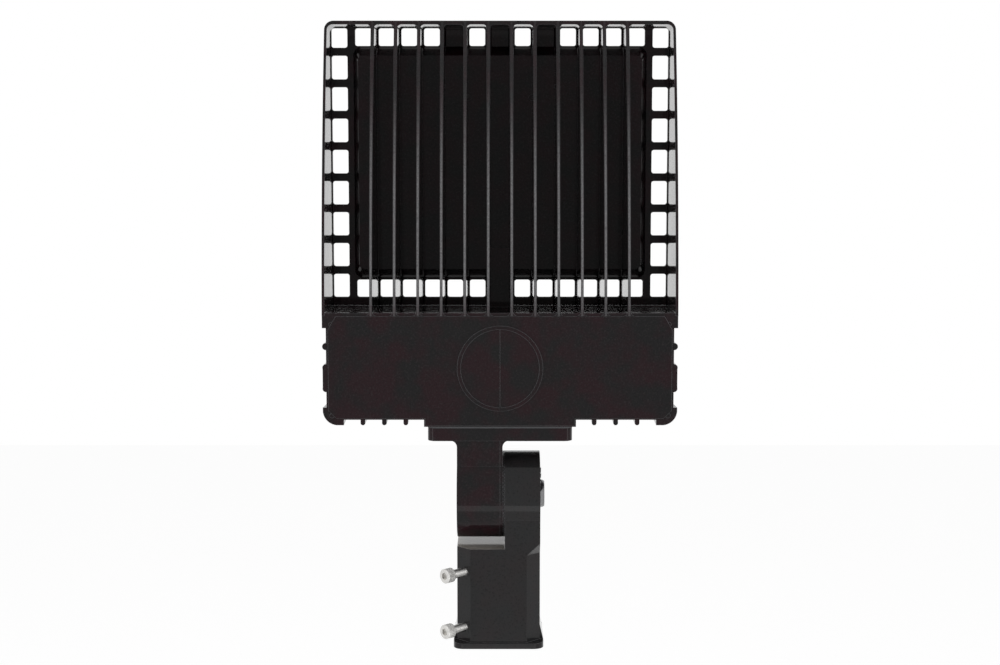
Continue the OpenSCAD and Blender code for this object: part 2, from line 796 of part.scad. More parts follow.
module fins() {
    translate([0, 0, box_top - cut]) linear_extrude(height = tip - box_top) for (x = fin_x) {
        polygon([
            [x - fin_edge_t / 2, back], [x + fin_edge_t / 2, back],
            [x + fin_root, flange_y], [x + fin_root, flange_y + cut],
            [x - fin_root, flange_y + cut], [x - fin_root, flange_y]
        ]);
        for (m = [0, 1]) translate([x, 0]) mirror([m, 0]) translate([fin_root, flange_y])
            corner_fillet(fin_root_r);
    }
}

// Each fin spreads into the driver box and into the tip wall.
module fin_feet() {
    half = fin_edge_t / 2 + fin_fillet;
    along_y(back, flange_y) for (x = fin_x) {
        difference() {
            translate([x - half, box_top - cut]) square([2 * half, fin_fillet + cut]);
            for (side = [-1, 1]) translate([x + side * half, box_top + fin_fillet]) circle(fin_fillet);
        }
        difference() {
            translate([x - half, tip_inner - fin_fillet]) square([2 * half, fin_fillet + cut]);
            for (side = [-1, 1]) translate([x + side * half, tip_inner - fin_fillet]) circle(fin_fillet);
        }
    }
}

// The light chamber bulges back between the fins, with sloped sides.
module pan() {
    hull() {
        along_y(flange_y, flange_y + 1) round_rect([-pan_x, pan_low], [pan_x, pan_high], 8, $fn = 32);
        along_y(pan_back, pan_back + 1) round_rect(
            [-pan_x + pan_side_run, pan_low + pan_end_run],
            [pan_x - pan_side_run, pan_high - pan_end_run], 5, $fn = 32
        );
    }
}

// One vent of the row at height z0 to z1, between fin i and the next.
module bay_vent(i, z0, z1) {
    round_rect([fin_x[i] + bay_gap, z0], [fin_x[i + 1] - bay_gap, z1], vent_r);
}

module vents() {
    last = fin_count - 1;
    along_y(flange_y - fin_root_r, front + cut) {
        for (m = [0, 1]) mirror([m, 0]) {
            for (k = [0:vent_rows - 1]) let (z = vent_z0 + k * vent_step)
                round_rect([vent_x0, z], [vent_x0 + vent_w, min(z + vent_h, row_top)], vent_r);
            for (z = [[vent_z0, vent_z0 + low_vent_h], [top_row_z + 1.6, row_top]])
                round_rect([fin_x[last] + bay_gap, z.x], [vent_x0 - column_bar, z.y], vent_r);
        }
        for (i = [0:last - 1]) {
            if (i != centre_bay) bay_vent(i, vent_z0, vent_z0 + low_vent_h);
            if (len(search(i, solid_top_bays)) == 0) bay_vent(i, top_row_z + 1.6, row_top);
        }
    }
}

// A ridge in the centre bay carries the LED lead from the driver box to the light chamber.
module lead_duct() {
    along_y(duct_back, flange_y + 1) translate([-fin_pitch / 2, box_top - cut])
        square([fin_pitch, duct_z + duct_r + 2 + cut - box_top]);
}

// Round marks that the mould's pins leave: two across fins and two on the chamber's floor.
module pin_marks() {
    for (p = fin_pins) y_cylinder(p, pan_back - 2.5, pan_back + 1, pin_r);
    for (p = floor_pins) y_cylinder(p, pan_back - 0.6, pan_back + 1, pin_r);
}

// The closed seat of a sensor: a raised ring with a sunk disc, and the mould's parting line across it.
module sensor_boss() {
    proud = 1.4;
    difference() {
        y_cylinder([0, sensor_z], back - proud, back + 1, sensor_boss_r);
        y_cylinder([0, sensor_z], back - proud - cut, back - proud + 1, sensor_boss_r - 3.2);
    }
    translate([-parting_w / 2, back - proud + 1 - parting_h, sensor_z - sensor_boss_r + 2])
        cube([parting_w, parting_h + 1, 2 * sensor_boss_r - 4]);
}

module inner_stands() {
    for (p = inner_holes) y_cylinder(p, back + 1, driver_seat, 4.5);
}

module housing_holes() {
    for (p = cover_screw_points)
        y_cylinder(p, box_front - cover_screw_len, front + cut, cover_screw.x + snug);
    for (p = inner_holes)
        y_cylinder(p, driver_seat - inner_thread - 1, driver_seat + cut, inner_screw.x + snug);
    for (p = bolt_points) translate([p.x, p.y, pad_z - cut])
        cylinder(h = pocket_floor - pad_z + 2 * cut, r = bracket_bolt_r + loose);
    translate([upper_wireway_x - head_offset, 0, pad_z - cut])
        cylinder(h = pocket_floor - pad_z + 2 * cut, r = wireway_d / 2);
    translate([0, duct_y, pocket_top - cut]) cylinder(h = duct_z - pocket_top + cut, r = duct_r);
    y_cylinder([0, duct_z], duct_y, pan_seat + cut, duct_r);
    for (p = [each lens_screw_points, each board_screw_points])
        y_cylinder(p, pan_seat - small_thread - 0.4, pan_seat + cut, lens_screw.x + snug);
}

module housing() color(black) translate([head_offset, 0, 0]) difference() {
    union() {
        difference() {
            union() {
                along_y(back + panel_h, box_front) box_plan();
                back_panel();
                ribs();
            }
            along_y(back + box_wall, front) box_hollow();
        }
        for (side = [-1, 1], z = corner_rows)
            y_cylinder([side * (box_x - screw_in), z], back + panel_h - 0.6, back + panel_h + 1, pip_r);
        intersection() {
            union() {
                rim_walls();
                fins();
                fin_feet();
                pan();
                pin_marks();
                lead_duct();
                along_y(flange_y, front) translate([-rim_x, box_top - cut]) square([rim_w, fin_zone_h]);
            }
            along_y(back - cut, front) rim_plan();
            along_x(-rim_x, rim_x) back_profile();
        }
        sensor_boss();
        inner_stands();
    }
    vents();
    along_y(pan_seat, front + cut) round_rect([-well_x, well_low], [well_x, well_high], well_r);
    along_y(box_front, front + cut) translate([-outer_x - cut, pad_z - cut])
        square([2 * outer_x + 2 * cut, cover_split - pad_z + cut]);
    housing_holes();
}

// ---- driver cover ----

module cover_plan() {
    difference() {
        translate([-outer_x, block_bottom]) square([2 * outer_x, cover_top - block_bottom]);
        for (m = [0, 1]) mirror([m, 0]) difference() {
            translate([outer_x - corner_r, block_bottom - corner_r]) square(2 * corner_r);
            translate([outer_x - corner_r, block_bottom + corner_r]) circle(corner_r);
        }
    }
}

module driver_cover() color(black) translate([head_offset, 0, 0]) difference() {
    along_y(cover_back, front) cover_plan();
    for (p = cover_screw_points) y_cylinder(p, cover_back - cut, front + cut, cover_screw.x + loose);
    along_y(front - 0.8, front + cut)
        round_rect([-box_x + 14, block_bottom + 18], [box_x - 14, cover_top - 12], 6);
}

module cover_gasket() color(rubber) translate([head_offset, 0, 0]) along_y(box_front, cover_back)
    difference() {
        intersection() {
            box_plan();
            translate([-box_x, box_z]) square([2 * box_x, cover_top - box_z - 0.5]);
        }
        round_rect([-pocket_x + 6, pocket_floor + 1], [pocket_x - 6, pocket_top - 1], 6);
        for (p = cover_screw_points) translate(p) circle(cover_screw.x + loose);
    }

module cover_screws() color(steel) translate([head_offset, 0, 0])
    for (p = cover_screw_points)
        y_screw(p, front, cover_screw, cover_screw_len - 1);

// ---- parts in the driver box ----

module led_driver() color([0.8, 0.8, 0.82]) translate([head_offset, 0, 0]) {
    low = [driver_cx - driver_w / 2, driver_cz - driver_h / 2];
    along_x(low.x, low.x + driver_w)
        round_rect([driver_seat, low.y], [driver_seat + driver_d, low.y + driver_h], 3);
    along_y(driver_seat, driver_seat + tab_t) difference() {
        translate([low.x - driver_tab, driver_cz - 12]) square([driver_w + 2 * driver_tab, 24]);
        for (x = driver_ends) translate([x, driver_cz]) circle(inner_screw.x + loose);
    }
}

module surge_protector() color([0.55, 0.1, 0.1]) translate([head_offset, 0, 0]) {
    low = [surge_cx - surge_w / 2, surge_cz - surge_h / 2];
    along_y(driver_seat, driver_seat + surge_d) round_rect(low, low + [surge_w, surge_h], 4);
    along_y(driver_seat, driver_seat + tab_t) difference() {
        round_rect([low.x - surge_tab, surge_cz - 6], [low.x + surge_w + surge_tab, surge_cz + 6], 4);
        for (x = surge_holes) translate([x, surge_cz]) circle(inner_screw.x + loose);
    }
}

module terminal_block() color([0.9, 0.9, 0.88]) translate([head_offset, 0, 0]) {
    low = [block_cx - block_w / 2, block_cz - block_h / 2];
    difference() {
        along_y(driver_seat, driver_seat + block_d) round_rect(low, low + [block_w, block_h], 1);
        for (i = [-1:1]) for (side = [-1, 1])
            y_cylinder([block_cx + i * block_pole, block_cz + side * 6], driver_seat + block_d - 5,
                driver_seat + block_d + cut, 2.2);
        for (x = block_holes)
            y_cylinder([x, block_cz], driver_seat - cut, driver_seat + block_d + cut,
                block_screw.x + loose);
    }
}

module inner_screws() color(steel) translate([head_offset, 0, 0]) {
    tab_points = [for (x = driver_ends) [x, driver_cz], for (x = surge_holes) [x, surge_cz]];
    for (p = tab_points) y_screw(p, driver_seat + tab_t, inner_screw, inner_thread + tab_t);
    for (x = block_holes)
        y_screw([x, block_cz], driver_seat + block_d, block_screw, block_d + inner_thread);
}

function unit(v) = v / norm(v);

// The route through the points, with each corner rounded off over the length r on both sides.
function rounded_route(points, r, steps = 4) = [
    points[0],
    for (i = [1:len(points) - 2]) let (
        p = points[i],
        a = p + r * unit(points[i - 1] - p),
        b = p + r * unit(points[i + 1] - p)
    ) for (k = [0:steps]) let (t = k / steps) (1 - t) * (1 - t) * a + 2 * t * (1 - t) * p + t * t * b,
    points[len(points) - 1]
];

// The direction of the route at each point.
function headings(route) = let (last = len(route) - 1) [
    for (i = [0:last]) unit(route[min(i + 1, last)] - route[max(i - 1, 0)])
];

// A sideways direction at each point, carried along the route without twist.
function sideways(dirs, i = 0, side = [0, 1, 0]) = i >= len(dirs) ? [] :
    let (s = unit(side - (side * dirs[i]) * dirs[i])) concat([s], sideways(dirs, i + 1, s));

// A lead of radius r through the points. Each corner is rounded off over the length corner.
module lead(points, r, corner) {
    sides = 8;
    route = rounded_route(points, corner);
    dirs = headings(route);
    u = sideways(dirs);
    n = len(route);
    polyhedron(
        points = [
            for (i = [0:n - 1], k = [0:sides - 1]) let (a = 360 * k / sides)
                route[i] + r * (cos(a) * u[i] + sin(a) * cross(dirs[i], u[i]))
        ],
        faces = [
            [for (k = [0:sides - 1]) k],
            [for (k = [0:sides - 1]) n * sides - 1 - k],
            for (i = [0:n - 2], k = [0:sides - 1])
                let (a = i * sides + k, b = i * sides + (k + 1) % sides)
                    each [[a, a + sides, b + sides], [a, b + sides, b]]
        ]
    );
}

module input_lead() color(rubber) translate([head_offset, 0, 0]) {
    y = driver_seat + driver_d / 2;
    z = block_cz + block_h / 2;
    x = driver_cx - driver_w / 2;
    lead([
        [block_cx, driver_seat + 8, z + 0.2], [block_cx, driver_seat + 8, z + 6],
        [x - 14, y, driver_cz - 16], [x - 0.2, y, driver_cz - 16]
    ], lead_r, 4);
}

module led_lead() color(rubber) translate([head_offset, 0, 0]) {
    x = driver_cx + driver_w / 2;
    y = driver_seat + driver_d + 5;
    top = driver_cz + driver_h / 2 - 3;
    lead([
        [x + 0.2, driver_seat + 26, driver_cz - 16], [x + 8, driver_seat + 26, driver_cz - 16],
        [x + 8, y, driver_cz], [x - 10, y, top], [0, y, top], [0, duct_y, pocket_top - 6],
        [0, duct_y, duct_z], [0, board_front + 0.5, duct_z]
    ], lead_r, 3);
}

module wire_grommet() color(rubber)
    translate([upper_wireway_x, 0, 0]) difference() {
        union() {
            translate([0, 0, pad_z])
                cylinder(h = pocket_floor - pad_z + collar_h, r = wireway_d / 2 - snug);
            translate([0, 0, pocket_floor]) cylinder(h = collar_h, r = wireway_d / 2 + 3);
        }
        translate([0, 0, pad_z - cut])
            cylinder(h = pocket_floor - pad_z + collar_h + 2 * cut, r = 0.56 * wireway_d / 2);
    }

module lead_grommet() color(rubber) translate([head_offset, duct_y, 0]) difference() {
    union() {
        translate([0, 0, pocket_top - 1.5]) cylinder(h = sleeve_h + 1.5, r = duct_r - snug);
        translate([0, 0, pocket_top - 1.5]) cylinder(h = 1.5, r = duct_r + 1.6);
    }
    translate([0, 0, pocket_top - 3]) cylinder(h = sleeve_h + 3 + cut, r = lead_r + snug);
}

// ---- light engine ----

module plate_plan() {
    round_rect([-plate_x, plate_low], [plate_x, plate_high], plate_r);
}

module seal_window() {
    translate([-window_x, window_low]) square([2 * window_x, window_high - window_low]);
}

module led_boards() color([0.92, 0.93, 0.92]) translate([head_offset, 0, 0])
    along_y(pan_seat, board_front) difference() {
        for (c = board_centres) translate(c) square([board_w, board_h], center = true);
        for (p = board_screw_points) translate(p) circle(board_screw.x + loose);
    }

module board_screws() color(steel) translate([head_offset, 0, 0])
    for (p = board_screw_points)
        y_screw(p, board_front, board_screw, small_thread + board_t);

module led_chips() color([0.95, 0.85, 0.4]) translate([head_offset, 0, 0])
    along_y(board_front, board_front + chip_h)
        for (p = lens_points) translate(p) square(chip_w, center = true);

module lens_gasket() color(rubber) translate([head_offset, 0, 0])
    along_y(pan_seat, plate_back) difference() {
        plate_plan();
        seal_window();
        for (p = lens_screw_points) translate(p) circle(lens_screw.x + loose);
    }

module lens_domes() {
    intersection() {
        for (p = lens_points) translate([p.x, plate_front + lens_h - lens_sphere_r, p.y])
            sphere(lens_sphere_r);
        along_y(plate_front - 1, front) seal_window();
    }
}

module lens_plate() color([0.9, 0.93, 0.95, 0.6]) translate([head_offset, 0, 0]) difference() {
    union() {
        along_y(plate_back, plate_front) plate_plan();
        lens_domes();
    }
    along_y(plate_back - cut, plate_back + lens_pocket) seal_window();
    for (p = lens_screw_points) y_cylinder(p, plate_back - cut, front, lens_screw.x + loose);
}

module lens_screws() color(steel) translate([head_offset, 0, 0])
    for (p = lens_screw_points)
        y_screw(p, plate_front, lens_screw, plate_front - pan_seat + small_thread);

slip_fitter();
pivot_bolt();
pivot_washer();
clamp_screw_upper();
clamp_screw_lower();
mounting_bracket();
pivot_nut();
bracket_gasket();
bracket_bolts();
bracket_washers();
housing();
driver_cover();
cover_gasket();
cover_screws();
led_driver();
surge_protector();
terminal_block();
inner_screws();
input_lead();
led_lead();
wire_grommet();
lead_grommet();
led_boards();
board_screws();
led_chips();
lens_gasket();
lens_plate();
lens_screws();
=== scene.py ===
import math

import bpy
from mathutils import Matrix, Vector


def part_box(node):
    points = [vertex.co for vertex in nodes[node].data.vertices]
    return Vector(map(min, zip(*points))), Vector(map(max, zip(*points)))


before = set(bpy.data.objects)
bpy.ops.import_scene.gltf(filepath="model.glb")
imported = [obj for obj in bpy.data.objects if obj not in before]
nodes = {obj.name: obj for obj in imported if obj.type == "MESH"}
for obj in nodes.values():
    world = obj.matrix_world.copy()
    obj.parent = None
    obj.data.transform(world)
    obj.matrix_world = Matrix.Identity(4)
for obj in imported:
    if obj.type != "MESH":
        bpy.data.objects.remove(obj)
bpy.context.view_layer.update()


# ---- sizes on the castings, in metres, in the frame of the CAD ----


head_low, head_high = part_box("housing")
HEAD_X = (head_low.x + head_high.x) / 2

# The backs of the fins follow one arc, seen from the side, and start at the top of the driver box.
FIN_ARC_Y = 1.12617
FIN_ARC_Z = 0.22048
FIN_ARC_RADIUS = 1.160
FIN_PITCH = 0.0209
FINS_HALF_WIDTH = 0.135
BOX_TOP_Z = 0.3004
BOX_TOP_BLEND = 0.0006

# How far inside that arc the painted highlight and the recess start and end.
HIGHLIGHT_DEPTH_NONE = 0.0010
HIGHLIGHT_DEPTH_FULL = 0.0002
RECESS_DEPTH_NONE = 0.0015
RECESS_DEPTH_FULL = 0.0035

# The painted highlight down the middle of a fin's back fades in over its foot and out towards the tip.
HIGHLIGHT_FULL_HALF = 0.0006
HIGHLIGHT_FADED_HALF = 0.0012
HIGHLIGHT_BACK_Y = 0.03
HIGHLIGHT_FOOT_Z = (0.305, 0.33)
HIGHLIGHT_TIP_Z = (0.40, 0.52)

RECESS_FLOOR_Y = 0.0525
TIP_WALL_Z = (0.552, 0.555)

LEDGE_Z = 0.091  # the fitter's top beside the knuckle
LEDGE_FULL_BAND = 0.001
LEDGE_FADED_BAND = 0.004

# The clamp screws, with distances along their axis counted from the middle of the socket.
KNURL_RIDGES = 36
KNURL_INNER_RADIUS = 0.0062
THREAD_PITCH = 0.00125
THREAD_END = 0.0602
SCREW_HEAD_RADIUS = 0.0065


# ---- grain and relief of the surfaces: scales in cycles per metre, depths and radii in metres ----


PEBBLE_SCALE = 1500.0
PEBBLE_RELIEF = 0.00006
MOTTLE_SCALE = 48.0
MOTTLE_RELIEF = 0.0003
SPOT_SCALE = 640.0
SPECK_SCALE = 2100.0
CASTING_EDGE_RADIUS = 0.0008
CLOUD_SCALE = 90.0
GRIME_SCALE = 500.0
STEEL_RELIEF = 0.00003
KNURL_RELIEF = 0.0004
THREAD_RELIEF = 0.0002
PLASTIC_CLOUD_SCALE = 60.0
SMALL_EDGE_RADIUS = 0.0003


# ---- colours ----


WARM_BLACK = (0.0128, 0.0038, 0.0056)
COOL_BLACK = (0.0062, 0.0058, 0.0062)
FITTER_WARM_BLACK = (0.0150, 0.0128, 0.0134)
FITTER_COOL_BLACK = (0.0134, 0.0136, 0.0141)
PALE_SPOT = (0.022, 0.018, 0.019)
DARK_SPOT = (0.002, 0.0015, 0.0015)
SPECK = (0.04, 0.038, 0.037)
# painted highlight along the rounded edges of the castings
PAINTED_EDGE_HIGHLIGHT = (0.10, 0.10, 0.105)
# painted highlight down the back of each fin
FIN_BACK_HIGHLIGHT = (0.19, 0.19, 0.195)
# painted reflection on the fitter's top beside the knuckle
LEDGE_PAINTED_REFLECTION = (0.32, 0.29, 0.26)
GRIMY_STEEL = (0.34, 0.335, 0.33)
CLEAN_STEEL = (0.68, 0.67, 0.65)
WHITE = (1.0, 1.0, 1.0)
PALE_FLOOR = (0.8, 0.8, 0.8)


# ---- node helpers ----


class Tree:
    """A small helper that makes shader nodes and links them."""

    MIX_FACTOR, MIX_A, MIX_B, MIX_RESULT = 0, 6, 7, 2  # a Mix node's sockets for colours

    def __init__(self, tree):
        self.tree = tree
        self.nodes = tree.nodes
        self.nodes.clear()

    def node(self, kind, **values):
        made = self.nodes.new("ShaderNode" + kind)
        for name, value in values.items():
            setattr(made, name, value)
        return made

    def plug(self, socket, value):
        if isinstance(value, bpy.types.NodeSocket):
            self.tree.links.new(value, socket)
        else:
            socket.default_value = value

    def math(self, operation, a, b=None):
        made = self.node("Math", operation=operation)
        self.plug(made.inputs[0], a)
        if b is not None:
            self.plug(made.inputs[1], b)
        return made.outputs[0]

    def times(self, first, *others):
        for other in others:
            first = self.math("MULTIPLY", first, other)
        return first

    def length(self, a, b):
        squares = self.math("ADD", self.times(a, a), self.times(b, b))
        return self.math("SQRT", squares)

    def position(self):
        return self.node("TexCoord").outputs["Object"]

    def normal(self):
        return self.node("NewGeometry").outputs["Normal"]

    def split(self, vector):
        made = self.node("SeparateXYZ")
        self.plug(made.inputs[0], vector)
        return made.outputs

    def noise(self, scale, detail=2.0, roughness=0.5):
        made = self.node("TexNoise")
        self.plug(made.inputs["Vector"], self.position())
        made.inputs["Scale"].default_value = scale
        made.inputs["Detail"].default_value = detail
        made.inputs["Roughness"].default_value = roughness
        return made.outputs["Fac"]

    def spread(self, value, low, high, to_low=0.0, to_high=1.0, smooth=False):
        """Maps low..high to to_low..to_high, and holds the ends beyond them."""
        made = self.node("MapRange", interpolation_type="SMOOTHSTEP" if smooth else "LINEAR")
        self.plug(made.inputs["Value"], value)
        made.inputs["From Min"].default_value = low
        made.inputs["From Max"].default_value = high
        made.inputs["To Min"].default_value = to_low
        made.inputs["To Max"].default_value = to_high
        return made.outputs["Result"]

    def mix(self, factor, a, b):
        made = self.node("Mix", data_type="RGBA")
        self.plug(made.inputs[self.MIX_FACTOR], factor)
        self.plug(made.inputs[self.MIX_A], a)
        self.plug(made.inputs[self.MIX_B], b)
        return made.outputs[self.MIX_RESULT]

    def bump(self, height, distance, strength, normal):
        made = self.node("Bump")
        made.inputs["Strength"].default_value = strength
        made.inputs["Distance"].default_value = distance
        self.plug(made.inputs["Height"], height)
        self.plug(made.inputs["Normal"], normal)
        return made.outputs["Normal"]

    def soft_edges(self, radius):
        made = self.node("Bevel", samples=8)
        made.inputs["Radius"].default_value = radius
        return made.outputs["Normal"]

    def edge_mask(self, rounded, low, high):
        """One where the rounded normal leaves the true one, which is along the edges."""
        turned = self.node("VectorMath", operation="DOT_PRODUCT")
        self.plug(turned.inputs[0], rounded)
        self.plug(turned.inputs[1], self.normal())
        return self.spread(self.math("SUBTRACT", 1.0, turned.outputs["Value"]), low, high)

    def background_rays(self):
        """One for rays that show the background: straight to the camera, in gloss and through glass."""
        path = self.node("LightPath")
        seen = self.math("MAXIMUM", path.outputs["Is Camera Ray"], path.outputs["Is Glossy Ray"])
        return self.math("MAXIMUM", seen, path.outputs["Is Transmission Ray"])

    def background(self, strength):
        made = self.node("Background")
        made.inputs["Color"].default_value = paint(WHITE)
        made.inputs["Strength"].default_value = strength
        return made.outputs[0]

    def finish(self, shader, kind="OutputMaterial"):
        out = self.node(kind)
        self.plug(out.inputs["Surface"], shader)


def paint(colour, factor=1.0):
    return (*(factor * part for part in colour), 1.0)


def new_material(name):
    material = bpy.data.materials.new(name)
    material.use_nodes = True
    return material, Tree(material.node_tree)


def principled(t, **values):
    shader = t.node("BsdfPrincipled")
    for name, value in values.items():
        t.plug(shader.inputs[name.replace("_", " ")], value)
    return shader.outputs[0]


# ---- materials ----


def head_zones(t):
    """Masks on the housing: a painted highlight down the backs of its fins, and the recess between them
    and the rim.
    """
    x, y, z = t.split(t.position())
    side, _, _ = t.split(t.normal())
    reach = t.length(t.math("SUBTRACT", y, FIN_ARC_Y), t.math("SUBTRACT", z, FIN_ARC_Z))
    above_box = t.spread(z, BOX_TOP_Z, BOX_TOP_Z + BOX_TOP_BLEND)

    step = t.math("MULTIPLY", t.math("SUBTRACT", x, HEAD_X), 1.0 / FIN_PITCH)
    off_centre = t.math("ABSOLUTE", t.math("SUBTRACT", t.math("FRACT", step), 0.5))
    # Painted highlight down the middle of each fin's back.
    fins = t.times(
        t.spread(reach, FIN_ARC_RADIUS - HIGHLIGHT_DEPTH_NONE, FIN_ARC_RADIUS - HIGHLIGHT_DEPTH_FULL),
        above_box,
        t.math("LESS_THAN", t.math("ABSOLUTE", x), FINS_HALF_WIDTH),
        t.math("LESS_THAN", y, HIGHLIGHT_BACK_Y),
        t.spread(z, *HIGHLIGHT_TIP_Z, 1.0, 0.10, smooth=True),
        t.spread(z, *HIGHLIGHT_FOOT_Z, 0.4, 1.0),
        t.spread(off_centre, HIGHLIGHT_FULL_HALF / FIN_PITCH, HIGHLIGHT_FADED_HALF / FIN_PITCH, 1.0, 0.0),
    )
    recess = t.times(
        t.spread(reach, FIN_ARC_RADIUS - RECESS_DEPTH_FULL, FIN_ARC_RADIUS - RECESS_DEPTH_NONE, 1.0, 0.0),
        above_box,
        t.math("LESS_THAN", y, RECESS_FLOOR_Y),
        t.spread(t.math("ABSOLUTE", side), 0.3, 0.7, 1.0, 0.0),
        t.spread(z, *TIP_WALL_Z, 1.0, 0.3),
    )
    return fins, recess


def ledge_reflection_mask(t, pebbles):
    """A mask for a painted reflection on the fitter's top beside the knuckle, thinner between the
    pebbles.
    """
    _, _, z = t.split(t.position())
    _, _, up = t.split(t.normal())
    away = t.math("ABSOLUTE", t.math("SUBTRACT", z, LEDGE_Z))
    near = t.spread(away, LEDGE_FULL_BAND, LEDGE_FADED_BAND, 1.0, 0.0)
    return t.times(t.spread(up, 0.3, 0.9), near, t.spread(pebbles, 0.3, 0.7, 0.5, 1.0))


def powder_coat(name, tone=1.0, grain=1.0, pale_spots=0.5, warm=WARM_BLACK, cool=COOL_BLACK,
                skin_ior=1.22, finned=False, painted_ledge=False):
    """Black powder coat on a casting: pebbled, mottled, with a painted highlight along the edges, and a
    clear skin.
    """
    material, t = new_material(name)
    rounded = t.soft_edges(CASTING_EDGE_RADIUS)
    pebbles = t.noise(PEBBLE_SCALE / grain, 3.0, 0.6)
    mottle = t.noise(MOTTLE_SCALE, 2.5, 0.5)
    spots = t.noise(SPOT_SCALE, 2.0, 0.6)
    specks = t.spread(t.noise(SPECK_SCALE, 1.0), 0.70, 0.78)

    colour = t.mix(t.spread(mottle, 0.38, 0.62), paint(warm, tone), paint(cool, tone))
    colour = t.mix(t.spread(spots, 0.54, 0.68, 0.0, pale_spots), colour, paint(PALE_SPOT, tone))
    colour = t.mix(t.spread(spots, 0.44, 0.30, 0.0, 0.6), colour, paint(DARK_SPOT))
    colour = t.mix(t.math("MULTIPLY", specks, 0.25), colour, paint(SPECK))
    if painted_ledge:
        # Painted reflection on the fitter's top beside the knuckle.
        colour = t.mix(ledge_reflection_mask(t, pebbles), colour, paint(LEDGE_PAINTED_REFLECTION))
    # Painted highlight along the rounded edges, broken up by the pebbles.
    edge_highlight = t.times(t.edge_mask(rounded, 0.02, 0.22), t.spread(pebbles, 0.35, 0.65, 0.35, 1.0))
    colour = t.mix(edge_highlight, colour, paint(PAINTED_EDGE_HIGHLIGHT))

    skin, dullness = 1.0, 0.0
    if finned:
        fins, recess = head_zones(t)
        skin = t.spread(recess, 0.0, 1.0, 1.0, 0.6)
        dullness = t.math("MULTIPLY", recess, 0.2)
        # Painted highlight down the back of each fin, broken up by the pebbles.
        fin_highlight = t.times(fins, t.spread(pebbles, 0.35, 0.65, 0.25, 1.0))
        colour = t.mix(fin_highlight, colour, paint(FIN_BACK_HIGHLIGHT))

    blend = t.math("ADD", t.math("MULTIPLY", mottle, 0.6), t.math("MULTIPLY", pebbles, 0.4))
    roughness = t.math("ADD", t.spread(blend, 0.3, 0.7, 0.34, 0.46), dullness)
    normal = t.bump(pebbles, PEBBLE_RELIEF * grain, 0.45, rounded)
    normal = t.bump(mottle, MOTTLE_RELIEF, 0.10, normal)
    t.finish(principled(
        t, Base_Color=colour, Roughness=roughness, IOR=1.10, Normal=normal,
        Coat_Weight=skin, Coat_Roughness=0.07, Coat_IOR=skin_ior, Coat_Normal=rounded,
    ))
    return material


def metal(name, colour, rough, grain):
    """Steel with a fine grain and a little unevenness."""
    material, t = new_material(name)
    fine = t.noise(grain, 4.0, 0.7)
    cloud = t.noise(CLOUD_SCALE)
    tint = t.mix(t.spread(cloud, 0.3, 0.7), paint(colour), paint(colour, 0.86))
    roughness = t.spread(fine, 0.3, 0.7, rough - 0.06, rough + 0.08)
    normal = t.bump(fine, STEEL_RELIEF, 0.35, t.soft_edges(SMALL_EDGE_RADIUS))
    t.finish(principled(t, Base_Color=tint, Metallic=1.0, Roughness=roughness, Normal=normal))
    return material


def socket_screw(name, node):
    """Bright steel with a knurled head and a threaded shank, about the level axis of a clamp screw."""
    low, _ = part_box(node)
    height = low.z + SCREW_HEAD_RADIUS
    material, t = new_material(name)
    x, y, z = t.split(t.position())
    diagonal = math.sqrt(0.5)
    along = t.math("MULTIPLY", t.math("ADD", x, y), -diagonal)
    across = t.math("MULTIPLY", t.math("SUBTRACT", x, y), diagonal)
    rise = t.math("SUBTRACT", z, height)
    angle = t.math("ARCTAN2", rise, across)
    radius = t.length(across, rise)

    ridges = t.math("ABSOLUTE", t.math("SINE", t.math("MULTIPLY", angle, KNURL_RIDGES / 2)))
    knurl = t.times(ridges, t.math("GREATER_THAN", radius, KNURL_INNER_RADIUS))
    turns = t.math("MULTIPLY", along, math.tau / THREAD_PITCH)
    crests = t.math("SINE", t.math("ADD", turns, angle))
    thread = t.times(crests, t.math("LESS_THAN", along, THREAD_END))

    fine = t.noise(1400.0, 4.0, 0.7)
    clean = t.spread(t.math("ADD", thread, t.noise(GRIME_SCALE)), -0.6, 0.6)
    tint = t.mix(clean, paint(GRIMY_STEEL), paint(CLEAN_STEEL))
    normal = t.bump(fine, STEEL_RELIEF, 0.3, t.soft_edges(SMALL_EDGE_RADIUS))
    normal = t.bump(knurl, KNURL_RELIEF, 0.8, normal)
    normal = t.bump(thread, THREAD_RELIEF, 0.4, normal)
    roughness = t.spread(fine, 0.3, 0.7, 0.20, 0.28)
    t.finish(principled(t, Base_Color=tint, Metallic=1.0, Roughness=roughness, Normal=normal))
    return material


def moulded(name, colour, rough, grain=900.0, relief=0.00004, **extra):
    """Moulded plastic or rubber: a faint grain, slight mottling and softened edges."""
    material, t = new_material(name)
    fine = t.noise(grain, 3.0, 0.6)
    cloud = t.noise(PLASTIC_CLOUD_SCALE, 3.0)
    tint = t.mix(t.spread(cloud, 0.3, 0.75), paint(colour), paint(colour, 0.8))
    roughness = t.spread(fine, 0.3, 0.7, rough - 0.05, rough + 0.07)
    normal = t.bump(fine, relief, 0.4, t.soft_edges(SMALL_EDGE_RADIUS))
    t.finish(principled(t, Base_Color=tint, Roughness=roughness, Normal=normal, **extra))
    return material


stainless = metal("stainless_steel", (0.66, 0.65, 0.63), rough=0.24, grain=1400.0)
zinc = metal("zinc_steel", (0.52, 0.53, 0.55), rough=0.34, grain=900.0)
black_steel = metal("black_steel", (0.20, 0.20, 0.205), rough=0.34, grain=1300.0)
silicone = moulded("grey_silicone", (0.055, 0.056, 0.060), rough=0.62)
jacket = moulded("black_jacket", (0.012, 0.012, 0.013), rough=0.5)

